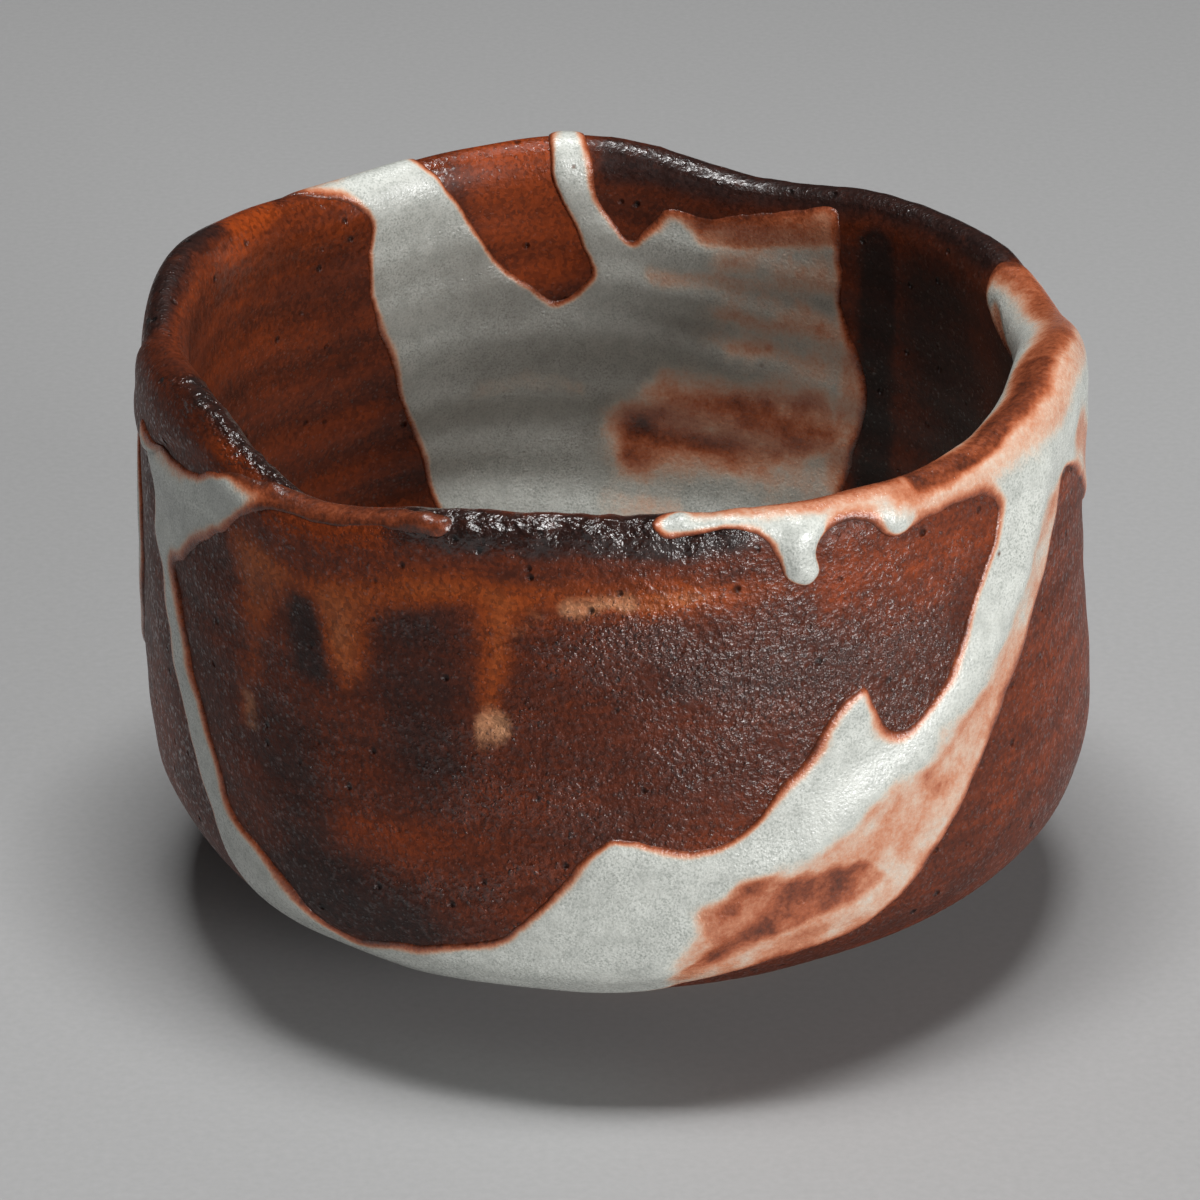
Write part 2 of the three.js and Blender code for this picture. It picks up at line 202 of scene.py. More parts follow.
def bandMask(deg, along, bands):  # greatest of soft bands: each a line of places, its half width and amount
    total = np.zeros(np.shape(deg))
    for line, width, amount in bands:
        middle = line[len(line) // 2][0]
        places = np.array(line, float)
        places[:, 0] = nearTurn(places[:, 0], middle)
        away = lineDistance(nearTurn(deg, middle), along, places)
        total = np.maximum(total, amount * (1 - smooth(away, bandCore * width, bandFade * width)))
    return total


relief = dict(
    ringOut=0.14, ringIn=0.22, ringStep=8.0,  # throwing rings, outside and inside
    ringWander=30.0, ringLip=(4, 12), ringSeat=15.0,  # how they wander and where they fade
    lumps=[(0.4, 24.0, 5), (0.16, 9.0, 6)], lumpSeat=(-4, 8),
    ridge=[(60, -10), (54.5, -21), (49, -26.5), (42, -33.5), (33, -39.5), (25, -44), (16, -50), (6, -60)],
    ridgeHeight=1.0, ridgeWidth=3.6,  # soft facet edge under the front sweep
    pad=[(-86, -13), (-84.5, -8), (-84, -4), (-81, 0), (-74, 3.5), (-66, 4.5), (-55, 3.2), (-46, 1.5),
         (-48, -1.5), (-58, -6), (-66, -9), (-75, -13)],
    padHeight=0.8, padRoll=2.2, padFade=(-72, -50),  # thick dark slip folded over the left of the lip
    bubbles=[([(-22, -1), (14, -1.5)], 4.0, 1.0), ([(-66, 1), (-54, 0.5), (-43, 0.8)], 3.0, 1.0),
             ([(180, 2), (160, 1), (140, 0), (112, 0)], 5.0, 0.4)],
    bubbleHeight=0.32, bubbleSize=1.7,  # blistered skin where the fire caught the rim
    slopeStep=0.15, leastSlope=1e-7,  # for the normals
)


def ringWave(deg, along, base):  # sin(2 pi along/step), wandering a little, faded at the lip and seat
    r = relief
    wobble = valueNoise(base, r["ringWander"], 3)
    wave = np.sin(2 * np.pi * (along / r["ringStep"] + deg / 360 + 0.5 * wobble))
    shown = smooth(np.abs(along), *r["ringLip"]) * smooth(along, alongSeat, alongSeat + r["ringSeat"])
    return wave * shown * (0.6 + 0.6 * wobble)


def wallRelief(deg, along, base):  # rings + lumps + facet edge + slip pad + blisters, in mm
    r = relief
    ring = ringWave(deg, along, base) * np.where(along < 0, r["ringOut"], r["ringIn"])
    lumps = noiseSum(base, r["lumps"]) * smooth(along - alongSeat, *r["lumpSeat"])
    edge = r["ridgeHeight"] * np.exp(-(lineDistance(deg, along, r["ridge"]) / r["ridgeWidth"]) ** 2)
    edge = np.where(along < 0, edge, 0)
    pad = np.clip(insideDistance(deg, along, r["pad"]) / r["padRoll"], 0, 1)
    pad = r["padHeight"] * np.sqrt(pad * (2 - pad)) * (1 - smooth(nearTurn(deg, 0), *r["padFade"]))
    blister = r["bubbleHeight"] * valueNoise(base, r["bubbleSize"], 7) * bandMask(deg, along, r["bubbles"])
    return ring + lumps + edge + pad + blister


def standOff(deg, along, height):  # base + normal x (relief + height); normal = round x inward slopes
    base = wallBase(deg, along)
    step, least = relief["slopeStep"], relief["leastSlope"]
    acrossWall = wallBase(deg + step, along) - wallBase(deg - step, along)
    alongWall = wallBase(deg, along + step) - wallBase(deg, along - step)
    normal = np.cross(acrossWall, alongWall)
    size = np.linalg.norm(normal, axis=-1, keepdims=True)
    upright = np.where(along < 0, -1.0, 1.0)[..., None] * np.array([0, 0, 1.0])
    normal = np.where(size > least, normal / np.maximum(size, least), upright)
    return base + normal * (wallRelief(deg, along, base) + height)[..., None]


# Meshes

def makePiece(name, points, faces, attributes, material, node):  # smooth mesh in place of one solid
    mesh = bpy.data.meshes.new(name)
    mesh.from_pydata(points * metre, [], faces)
    mesh.polygons.foreach_set("use_smooth", np.ones(len(mesh.polygons), bool))
    for key, values in attributes.items():
        layer = mesh.attributes.new(key, "FLOAT", "POINT")
        layer.data.foreach_set("value", np.asarray(values, np.float32).ravel())
    mesh.materials.append(material)
    mesh.update()
    piece = bpy.data.objects.new(name, mesh)
    bpy.context.scene.collection.objects.link(piece)
    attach(piece, "root")
    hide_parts(node)
    print("piece", name, len(mesh.vertices), "points", len(mesh.polygons), "faces")


def ringFaces(rings, columns):  # quads between closed rings of points
    i, j = np.meshgrid(np.arange(rings - 1), np.arange(columns), indexing="ij")
    k = (j + 1) % columns
    here, beyond = i * columns, (i + 1) * columns
    return np.stack([here + j, here + k, beyond + k, beyond + j], -1).reshape(-1, 4)


def capFaces(ring, tip, columns, flipped):  # triangles from a ring of points to one point
    j = np.arange(columns)
    a, b = ring * columns + j, ring * columns + (j + 1) % columns
    first, second = (b, a) if flipped else (a, b)
    return np.column_stack([first, second, np.full(columns, tip)])


def closedFaces(rings, columns):  # quads between rings, and a cap at each end to a point after the rings'
    count = rings * columns
    caps = np.vstack([capFaces(0, count, columns, True), capFaces(rings - 1, count + 1, columns, False)])
    return ringFaces(rings, columns).tolist() + caps.tolist()


# Material helpers

def connect(tree, socket, value):  # a socket is linked, anything else is set on the input itself
    if isinstance(value, bpy.types.NodeSocket):
        tree.links.new(value, socket)
    elif isinstance(value, tuple) and socket.type == "RGBA":
        socket.default_value = (*value, 1.0)
    else:
        socket.default_value = value


def addNode(tree, kind, inputs=None, **settings):  # one shader node with its settings and inputs
    made = tree.nodes.new("ShaderNode" + kind)
    for key, value in settings.items():
        setattr(made, key, value)
    for key, value in (inputs or {}).items():
        connect(tree, made.inputs[key], value)
    return made


def noiseOf(tree, vector, scale, detail=2.0, rough=0.5):  # noise, 0 to 1
    inputs = {"Vector": vector, "Scale": scale, "Detail": detail, "Roughness": rough}
    return addNode(tree, "TexNoise", inputs).outputs[0]


def mathOf(tree, operation, first, *others):  # the operation taken through all the values in turn
    for other in others:
        first = addNode(tree, "Math", {0: first, 1: other}, operation=operation).outputs[0]
    return first


def plus(tree, *values):  # sum of all the values
    return mathOf(tree, "ADD", *values)


def minus(tree, a, b):  # a - b
    return mathOf(tree, "SUBTRACT", a, b)


def times(tree, *values):  # product of all the values
    return mathOf(tree, "MULTIPLY", *values)


def vectorMath(tree, operation, a, b):  # one operation on two vectors
    return addNode(tree, "VectorMath", {0: a, 1: b}, operation=operation).outputs[0]


def swing(tree, value, amount):  # (value - 0.5) x amount
    return times(tree, minus(tree, value, 0.5), amount)


def remap(tree, value, low, high, toLow=0.0, toHigh=1.0):  # smooth step from toLow at low to toHigh at high
    inputs = {"Value": value, "From Min": low, "From Max": high, "To Min": toLow, "To Max": toHigh}
    return addNode(tree, "MapRange", inputs, interpolation_type="SMOOTHSTEP").outputs["Result"]


def mixColour(tree, factor, a, b, blend="MIX"):  # a at factor 0, the blend with b at factor 1
    made = addNode(tree, "Mix", data_type="RGBA", blend_type=blend)
    colours = [socket for socket in made.inputs if socket.type == "RGBA"]
    for socket, value in zip([made.inputs[0], *colours], (factor, a, b)):
        connect(tree, socket, value)
    return next(socket for socket in made.outputs if socket.type == "RGBA")


def rampOf(tree, factor, stops):  # colour between the stops on each side of factor
    made = addNode(tree, "ValToRGB", {"Fac": factor})
    ramp = made.color_ramp
    while len(ramp.elements) < len(stops):
        ramp.elements.new(0.5)
    for element, (place, colour) in zip(ramp.elements, stops):
        element.position = place
        element.color = (*colour, 1.0)
    return made.outputs["Color"]


def attributeOf(tree, name):  # a mask kept on the mesh's points
    return addNode(tree, "Attribute", attribute_name=name).outputs["Fac"]


def newGroup(name, inputs, outputs):  # empty node group: its tree, what it is given and what it puts out
    tree = bpy.data.node_groups.new(name, "ShaderNodeTree")
    for key, kind in inputs.items():
        tree.interface.new_socket(key, in_out="INPUT", socket_type="NodeSocket" + kind)
    for key in outputs:
        tree.interface.new_socket(key, in_out="OUTPUT", socket_type="NodeSocketFloat")
    return tree, tree.nodes.new("NodeGroupInput").outputs, tree.nodes.new("NodeGroupOutput").inputs


def placeGroup(tree, group, inputs):  # outputs of a group placed in a material
    made = tree.nodes.new("ShaderNodeGroup")
    made.node_tree = group
    for key, value in inputs.items():
        connect(tree, made.inputs[key], value)
    return made.outputs


def newMaterial(name):  # material, its tree, the shader's inputs and the place on the object
    material = bpy.data.materials.new(name)
    material.use_nodes = True
    tree = material.node_tree
    return material, tree, tree.nodes["Principled BSDF"].inputs, addNode(tree, "TexCoord").outputs["Object"]


def bumpOf(tree, height, strength, distance):  # normal tilted by the slope of height
    inputs = {"Height": height, "Strength": strength, "Distance": distance}
    return addNode(tree, "Bump", inputs).outputs["Normal"]


grainShape = dict(
    wander=0.9, sizes=(0.2, 0.65),  # shares of a cell
    tooth=(2.0, 0.55), toothHeight=1.7,  # detail and roughness of the fine tooth, its height
)


# Gritty skin: grains of random size and height in wandering cells, over a fine tooth;
# Height = grain x its chance + tooth x its height
def gritGroup():
    inputs = {"Place": "Vector", "Grains": "Float", "Tooth": "Float"}
    tree, given, out = newGroup("grittySkin", inputs, ["Height", "Shade", "Tooth"])
    wander = addNode(tree, "TexNoise", {"Vector": given["Place"], "Scale": given["Grains"], "Detail": 1.0})
    shift = vectorMath(tree, "SUBTRACT", wander.outputs["Color"], (0.5, 0.5, 0.5))
    reach = mathOf(tree, "DIVIDE", grainShape["wander"], given["Grains"])
    shift = addNode(tree, "VectorMath", {0: shift, "Scale": reach}, operation="SCALE").outputs[0]
    moved = vectorMath(tree, "ADD", given["Place"], shift)
    cell = addNode(tree, "TexVoronoi", {"Vector": moved, "Scale": given["Grains"]}).outputs
    chance = addNode(tree, "SeparateColor", {"Color": cell["Color"]}).outputs
    size = remap(tree, chance[0], 0.0, 1.0, *grainShape["sizes"])
    grain = times(tree, remap(tree, cell["Distance"], size, 0.0), chance[1])
    tooth = noiseOf(tree, given["Place"], given["Tooth"], *grainShape["tooth"])
    tree.links.new(plus(tree, grain, times(tree, tooth, grainShape["toothHeight"])), out["Height"])
    tree.links.new(chance[2], out["Shade"])
    tree.links.new(tooth, out["Tooth"])
    return tree


# Kiln specks: a share of random cells, each with a round soft spot at its middle
def speckGroup():
    inputs = {"Place": "Vector", "Spacing": "Float", "Share": "Float", "Size": "Float"}
    tree, given, out = newGroup("kilnSpecks", inputs, ["Mask"])
    cell = addNode(tree, "TexVoronoi", {"Vector": given["Place"], "Scale": given["Spacing"]}).outputs
    chance = addNode(tree, "SeparateColor", {"Color": cell["Color"]}).outputs[0]
    chosen = mathOf(tree, "LESS_THAN", chance, given["Share"])
    spot = remap(tree, cell["Distance"], given["Size"], 0.0)
    tree.links.new(times(tree, chosen, spot), out["Mask"])
    return tree


grittySkin = gritGroup()
kilnSpecks = speckGroup()

# In the looks below a noise is (scale, detail, roughness), and a span is what remap takes after its value.
clayLook = dict(
    drift=(1.0, 1.0, 2.4), turning=(1.0, 1.0, 9.0),  # noise pressed flat, so drawn out round the bowl
    cloud=(42.0, 5.0, 0.6), fleck=(260.0, 4.0, 0.65), streak=(60.0, 4.0, 0.6),
    dark=(0.074, 0.014, 0.0045), pitShade=(0.011, 0.007, 0.0065),
    # Coats over the dark slip: mask, swings of cloud, fleck and streak, span and colour
    coats=[
        ("red", (1.2, 0.8, 0.6), (-0.15, 0.85, 0.0, 1.0), (0.225, 0.036, 0.005)),
        # Black of fired slip, and on the inner right wall painted shade
        ("charAndShade", (0.8, 0.9, 0.0), (0.05, 0.95, 0.0, 0.92), (0.011, 0.007, 0.0065)),
        ("veil", (0.0, 0.6, 0.0), (0.0, 0.65, 0.0, 0.85), (0.245, 0.042, 0.004)),
        ("veil", (0.0, 0.6, 0.0), (0.45, 1.15, 0.0, 1.0), (0.325, 0.078, 0.018)),
        ("pale", (0.0, 1.0, 0.0), (0.2, 1.3, 0.0, 1.0), (0.55, 0.27, 0.14)),
    ],
    shade=(-0.6, 1.6, 0.5, 1.5),
    # pitShadeShare: how far the painted shade darkens each pinhole
    pits={"Spacing": 300.0, "Share": 0.5, "Size": 0.2}, pitShadeShare=0.8, pitDepth=2.5,
    skin={"Grains": 1900.0, "Tooth": 1300.0}, blisters=(580.0, 1.5), blisterHeight=3.2, melt=0.5,
    bump=0.0003,
    glossShine=1.08, gritShine=0.54, rough=(1.0, 1.8, 0.5, 0.2), wet=(1.1, 1.8),
    dullShine=0.25, wetRough=0.28,
)


def clayMaterial():  # coats by painted masks x noise, then grains, pits and a wet coat on what stands out
    look = clayLook
    material, tree, shader, place = newMaterial("ironSlipClay")
    flat = vectorMath(tree, "MULTIPLY", place, look["drift"])
    turned = vectorMath(tree, "MULTIPLY", place, look["turning"])
    noises = [noiseOf(tree, flat, *look["cloud"]), noiseOf(tree, flat, *look["fleck"]),
              noiseOf(tree, turned, *look["streak"])]
    gloss, grit = attributeOf(tree, "gloss"), attributeOf(tree, "grit")
    skin = placeGroup(tree, grittySkin, {"Place": place, **look["skin"]})
    pits = placeGroup(tree, kilnSpecks, {"Place": place, **look["pits"]})["Mask"]
    colour = look["dark"]
    for mask, swings, span, coat in look["coats"]:
        patchy = [swing(tree, noise, amount) for noise, amount in zip(noises, swings)]
        share = remap(tree, plus(tree, attributeOf(tree, mask), *patchy), *span)
        colour = mixColour(tree, share, colour, coat)
    # Random tone of each grain, plus the painted light and shade along the throwing rings
    shade = remap(tree, plus(tree, skin["Shade"], attributeOf(tree, "ring")), *look["shade"])
    colour = mixColour(tree, 1.0, colour, shade, "MULTIPLY")
    # Painted shade: the pinholes darkened in colour as well as dented
    colour = mixColour(tree, times(tree, pits, look["pitShadeShare"]), colour, look["pitShade"])
    tree.links.new(colour, shader["Base Color"])
    shiny = plus(tree, times(tree, gloss, look["glossShine"]), times(tree, grit, look["gritShine"]))
    glint = plus(tree, skin["Height"], shiny)
    tree.links.new(remap(tree, glint, *look["rough"]), shader["Roughness"])
    tree.links.new(remap(tree, glint, *look["wet"]), shader["Coat Weight"])  # melted slip on grains and rim
    shader["Specular IOR Level"].default_value = look["dullShine"]
    shader["Coat Roughness"].default_value = look["wetRough"]
    crisp = minus(tree, 1.0, times(tree, gloss, look["melt"]))  # melted places lose the fine grain
    blister = times(tree, noiseOf(tree, place, *look["blisters"]), gloss, look["blisterHeight"])
    height = times(tree, plus(tree, times(tree, skin["Height"], crisp), blister), grit)
    height = minus(tree, height, times(tree, pits, look["pitDepth"]))
    tree.links.new(bumpOf(tree, height, 1.0, look["bump"]), shader["Normal"])
    tooth = noiseOf(tree, place, look["skin"]["Tooth"], *grainShape["tooth"])
    tooth = times(tree, tooth, grainShape["toothHeight"], crisp)
    ripple = times(tree, plus(tree, tooth, blister), grit)
    tree.links.new(bumpOf(tree, ripple, 1.0, look["bump"]), shader["Coat Normal"])
    return material


glazeLook = dict(
    stops=[(0.0, (0.075, 0.020, 0.010)), (0.10, (0.17, 0.038, 0.014)), (0.24, (0.36, 0.095, 0.038)),
           (0.40, (0.54, 0.23, 0.13)), (0.56, (0.62, 0.42, 0.31)), (0.70, (0.62, 0.565, 0.485)),
           (0.84, (0.585, 0.595, 0.545)), (1.0, (0.63, 0.645, 0.60))],  # by depth, from none to full
    broad=(150.0, 4.0, 0.6), middle=(420.0, 4.0, 0.65), fine=(1300.0, 3.0, 0.65), grain=(3400.0, 2.0, 0.6),
    broadSwing=0.4, fineSwing=0.34, white=(0.45, 0.8),
    haze=(0.43, 0.445, 0.41), hazeSpan=(0.38, 0.72, 0.0, 0.7),
    grey=(0.27, 0.29, 0.26), greySpan=(0.42, 0.7), greyPatch=(0.3, 0.7, 0.3, 0.85),
    # Colour and share of the painted shade that darkens the white glaze on the inside wall
    paintedShade=(0.15, 0.125, 0.10), paintedShadeShare=0.5,
    speck=(0.13, 0.05, 0.025), specks={"Spacing": 190.0, "Share": 0.06, "Size": 0.1}, speckDepth=2.5,
    skin={"Grains": 1500.0, "Tooth": 2400.0}, rough=(0.2, 0.8, 0.2, 0.42), bumpShare=0.5, bump=0.0001,
)


def glazeMaterial():  # colour by depth + noise; haze, grey grain and painted shade on the inside wall's white; then specks
    look = glazeLook
    material, tree, shader, place = newMaterial("paleGlaze")
    noises = (noiseOf(tree, place, *look[key]) for key in ("broad", "middle", "fine", "grain"))
    broad, middle, fine, grain = noises
    depth = attributeOf(tree, "depth")
    patchy = plus(tree, swing(tree, broad, look["broadSwing"]), swing(tree, fine, look["fineSwing"]))
    colour = rampOf(tree, plus(tree, depth, patchy), look["stops"])
    white = remap(tree, depth, *look["white"])
    haze = times(tree, remap(tree, middle, *look["hazeSpan"]), white)
    colour = mixColour(tree, haze, colour, look["haze"])
    grey = times(tree, remap(tree, grain, *look["greySpan"]), remap(tree, broad, *look["greyPatch"]), white)
    colour = mixColour(tree, grey, colour, look["grey"])
    # Painted shade: the white on the inside wall darkened, standing in for the shadow inside the bowl
    paintedShade = times(tree, attributeOf(tree, "paintedShade"), white, look["paintedShadeShare"])
    colour = mixColour(tree, paintedShade, colour, look["paintedShade"])
    specks = placeGroup(tree, kilnSpecks, {"Place": place, **look["specks"]})["Mask"]
    colour = mixColour(tree, specks, colour, look["speck"])
    tree.links.new(colour, shader["Base Color"])
    skin = placeGroup(tree, grittySkin, {"Place": place, **look["skin"]})
    tree.links.new(remap(tree, skin["Tooth"], *look["rough"]), shader["Roughness"])
    height = minus(tree, skin["Height"], times(tree, specks, look["speckDepth"]))
    tree.links.new(bumpOf(tree, height, look["bumpShare"], look["bump"]), shader["Normal"])
    return material


footLook = dict(
    light=(0.30, 0.15, 0.09), dark=(0.20, 0.085, 0.05), cloud=(120.0, 4.0, 0.6),
    sand=(0.42, 0.33, 0.26), sandGrains={"Spacing": 420.0, "Share": 0.2, "Size": 0.3},
    skin={"Grains": 1100.0, "Tooth": 3600.0}, rough=(0.2, 0.8, 0.72, 0.9), bumpShare=0.7, bump=0.0002,
)


def footMaterial():  # dry clay, cloudy from light to dark, with grains of sand
    look = footLook
    material, tree, shader, place = newMaterial("bareClay")
    colour = mixColour(tree, noiseOf(tree, place, *look["cloud"]), look["light"], look["dark"])
    skin = placeGroup(tree, grittySkin, {"Place": place, **look["skin"]})
    sand = placeGroup(tree, kilnSpecks, {"Place": place, **look["sandGrains"]})["Mask"]
    tree.links.new(mixColour(tree, sand, colour, look["sand"]), shader["Base Color"])
    tree.links.new(remap(tree, skin["Tooth"], *look["rough"]), shader["Roughness"])
    tree.links.new(bumpOf(tree, skin["Height"], look["bumpShare"], look["bump"]), shader["Normal"])
    return material


clay, paleGlaze, bareClay = clayMaterial(), glazeMaterial(), footMaterial()
print("materials made")

# Glaze outlines on the unrolled wall. Neighbours overlap here, so that they melt together.
outlines = dict(
    sweep=[(68, -9), (60, -8), (53, -8.5), (50, -14), (46, -20.5), (42.5, -27), (38.5, -31), (35, -32.8),
           (32.8, -31), (31.2, -27.2), (29.5, -25.6), (26, -28), (21, -35), (16.5, -41), (12, -44),
           (7.5, -44), (1, -42), (-2, -44), (-6, -49), (-10.5, -55), (-14, -58), (-20, -60), (-27, -62.5),
           (-30, -66), (-30, -74), (-12, -75), (4, -72), (14, -66), (22, -63.5), (30, -61.5), (36, -57),
           (42, -50.5), (46.5, -44), (51, -37.5), (57, -30.5), (62, -24.5), (65, -19)],
    leftRun=[(-70, -15), (-65, -17), (-62, -20), (-63.5, -24), (-60.5, -29), (-57.5, -36), (-52.5, -44.5),
             (-49.5, -50), (-44, -53.5), (-40.5, -57), (-37.5, -61.5), (-33, -64), (-25, -62.5),
             (-24, -74), (-38, -72.5), (-45, -67.5), (-49.5, -62.5), (-53.5, -56.5), (-57, -49.5),
             (-60, -43), (-63, -37), (-65.5, -31), (-68, -25.5), (-70.5, -21)],
    sideRun=[(-82, -22), (-80, -29), (-80, -37), (-83, -43), (-88, -46), (-93, -41), (-98, -38),
             (-101, -30), (-98, -22), (-90, -17)],
    leftRim=[(-62, -22), (-69, -19), (-71, -16.5), (-74.5, -12.5), (-75, -9), (-70, -10), (-63, -10.5),
             (-57.5, -8.5), (-54, -5.5), (-48, -2), (-42, 0.5), (-34, 0.8), (-26, -0.2), (-20, -1.2),
             (-19, -2.4), (-21, -3.4), (-30, -2.8), (-40, -2.6), (-45, -4.5), (-49, -8.5), (-52, -12.5),
             (-57, -17.5)],
    rimRun=[(53, -9.5), (60, -12.5), (68, -12.5), (75, -17), (82, -22.5), (89, -26), (96, -24), (102, -17),
            (108, -8), (112, -1), (113, 4), (110, 7.5), (98, 9.5), (82, 10), (66, 8), (56, 4.5), (44, 2),
            (28, 1.5), (12, 1), (6.5, 0.2), (5, -1.5), (6, -3.2), (9, -3.2), (14, -2.6), (17, -4), (19, -7),
            (20.3, -9.8), (22.5, -10.9), (24.4, -9.3), (24.2, -6), (26.5, -3.9), (30, -4.2), (32.5, -6.6),
            (35, -7.2), (39.5, -6.2), (44, -6), (49, -7)],
    panel=[(-134, -0.5), (-139.5, 3.5), (-142.5, 7), (-142, 12), (-143, 18), (-147, 31), (-150.5, 41),
           (-152.5, 50), (-155, 62), (-160, 84), (-180, 86), (-204, 84), (-212, 62), (-216.5, 45),
           (-219, 37), (-220, 31), (-218.5, 25), (-216, 19), (-215.5, 12), (-215, 4), (-208, 4),
           (-200, 6), (-194, 8.3), (-188.5, 8.5), (-186, 11.5), (-183, 14.7), (-180.5, 12.5),
           (-177.5, 7.5), (-176, -1.5), (-172, -1.5), (-171.5, 7), (-174, 13), (-177, 19), (-176, 21.5),
           (-172, 24), (-168, 21.5), (-163.5, 17.5), (-160, 12.5), (-156, 6), (-151, 0), (-143, -1)],
    backRun=[(-151, 1), (-142, 1), (-133, 0.5), (-126, -9), (-121, -22), (-117, -36), (-112, -45),
             (-113, -51), (-118, -52), (-124, -49), (-130, -53), (-138, -62), (-147, -66), (-153, -61),
             (-157, -49), (-162, -41), (-167, -45), (-172, -45), (-174, -39), (-171, -28), (-163, -16),
             (-156, -7)],
)

# Where the glaze is thin and the clay's iron stains it: outlines, soft edge and amount
thinAreas = dict(
    sweepSide=([(61, -13.5), (56, -22), (50, -26.5), (45.8, -31), (38.8, -36.8),
                (33.8, -39.8), (28, -43.5), (23.8, -46), (19, -47.2), (15, -49.5),
                (11, -52.5), (8.5, -57), (7.5, -63), (12, -72), (34, -66), (48, -54),
                (58, -40), (66, -30), (70, -16)], 1.8, 0.52),
    redPatch=([(10.2, -52.8), (14.2, -49.8), (17.8, -47.8), (22.2, -48.4), (27.8, -48.8),
               (32.8, -51), (34.2, -53.2), (30.5, -55), (26, -57.5), (21.5, -59.2),
               (15.8, -60.5), (8.5, -62.2), (10, -57.5)], 1.8, 0.8),
    innerStain=([(-180, 38), (-184, 35.5), (-193, 32), (-206.5, 30), (-216, 31.6),
                 (-216.5, 40), (-208.5, 44.6), (-193, 46.8), (-181.5, 47.4)], 5.5, 0.8),
    innerSide=([(-195, 10), (-214, 8), (-219, 30), (-217, 46), (-205, 50), (-197, 40),
                (-194, 24)], 5.0, 0.42),
)
# The same along lines: places, half width and amount
thinLines = [
    ([(40, -0.4), (46, -0.8), (52, -0.6), (58, 0.2), (64, 0.8), (72, 0.8)], 3.0, 0.92),  # right rim's crest
    ([(72, 0.8), (82, 0.2), (104, -0.4)], 2.8, 0.8),
    ([(45, -1.4), (50, -1.6), (55, -1)], 1.8, 0.95), ([(98, -1), (108, 0), (114, 1.5)], 3.6, 0.8),
    ([(38, -2.6), (50, -3.4), (60, -3), (70, -2.6), (84, -2.6), (106, -2.5)], 3.4, 0.5),
    ([(66, 8), (82, 9.6), (98, 9.2), (109, 6)], 1.4, 0.6), ([(76, -12), (84, -18), (92, -20)], 4.0, 0.6),
    ([(10, 0.5), (24, -0.1), (34, -0.7), (42, -1.2)], 2.2, 0.62),  # peach before the crest
    ([(27, -1.0), (34, -1.4), (42, -2.0)], 2.8, 0.45), ([(35.5, -0.9), (41, -1.2)], 3.6, 0.64),
    ([(-50, -2), (-42, -0.8), (-34, -1), (-26, -1.6), (-20, -2.2)], 3.0, 0.9),  # left lip's streak
    ([(-72, -11), (-62, -11)], 1.6, 0.4),
    ([(-214, 7), (-204, 8), (-194, 10)], 3.0, 0.7),  # under the back rim
    ([(-212, 15), (-198, 17), (-186, 19)], 1.8, 0.4), ([(-214, 23), (-200, 24)], 1.6, 0.4),
    ([(-176, 36), (-168, 34), (-160, 35)], 1.6, 0.3), ([(-218, 24), (-216, 44)], 4.0, 0.55),
    ([(-180, 52), (-190, 53)], 3.0, 0.35), ([(-100, -24), (-92, -30), (-84, -38)], 8.0, 0.42),
    ([(-152, -2), (-142, -1.5), (-132, -2)], 1.6, 0.5), ([(-164, -22), (-170, -38)], 5.0, 0.5),
    ([(-126, -18), (-117, -44)], 4.0, 0.55), ([(-148, -56), (-140, -58)], 4.0, 0.4),
]
# Fatter drops of glaze: places, half width and added height
fatPlaces = [
    ([(22.3, -5), (22.3, -8.6)], 2.6, 0.8), ([(34.6, -4), (34.8, -5.4)], 2.4, 0.45),
    ([(8, -1.4), (14, -1.2)], 1.8, 0.3), ([(-171, 3), (-174, 8)], 2.4, 0.3),
    ([(-24, -1.9), (-20, -2.3)], 1.4, 0.35),
]
glaze = dict(
    thickness=0.55, roll=2.1, sunk=0.3, under=0.04, skirt=0.3,  # height, rounded edge, depth in the clay
    lap=2.0, lapSink=0.3,  # where a run slips under its neighbour
    fine=0.3, coarse=0.42, room=5.0, leastSlope=0.2,  # lattice steps, room round a run
    waver=[(0.4, 9.0, 10), (0.35, 4.0, 11), (0.15, 1.6, 12)],  # noise of the edge
    uneven=[(0.3, 12.0, 14)], thinLoss=0.6,  # noise of the thickness
    wander=[(1.5, 8.0, 15), (1.0, 2.6, 16)], wanderTurn=0.6, wanderAlong=0.4,  # noise of the thin places
    slant=(12.0, 3.2), level=(22.0, 2.2),  # streaks' length and width, out and in
    levelShare=1.1, mottle=[(1.0, 2.4, 19)], streak=0.13,
    fadeLeast=1.3, fadeMore=2.2, fadeSize=8.0, fadeStart=0.15,  # stained edge
    fatWhite=0.6, fatFull=0.4,
    paintedShadeFrom=(4, 20), paintedShadeTo=(42, 54), paintedShade=0.8, paintedShadePatch=[(0.4, 14.0, 26)],  # painted shade: the inside wall's glaze greyed as if in the bowl's shadow
)
pool = dict(
    radius=41.0, wave=1.5, past=1.2, deepest=12.0, wallFrom=30.0, floorFrom=48.0,
    hole=0.01, columns=420, rings=90,
)


def poolEdge(deg):  # radius of the pool: R + w sin(3a) cos(2a)
    turn = np.radians(deg - 90)
    return pool["radius"] + pool["wave"] * np.sin(3 * turn) * np.cos(2 * turn)


def poolDistance(deg, along):  # how far inside the pool's wavy edge, on the floor only
    radius = np.interp(along, section[:, 0], section[:, 1])
    inside = np.clip(poolEdge(deg) - radius, -outlineReach, pool["deepest"])
    return np.where(along > pool["wallFrom"], inside, -outlineReach)


def meltTogether(fields, reach=3.0):  # smooth greatest value, so that runs join with a fillet
    total = fields[0]
    for field in fields[1:]:
        gap = np.maximum(reach - np.abs(total - field), 0) / reach
        total = np.maximum(total, field) + gap * gap * reach / 4
    return total


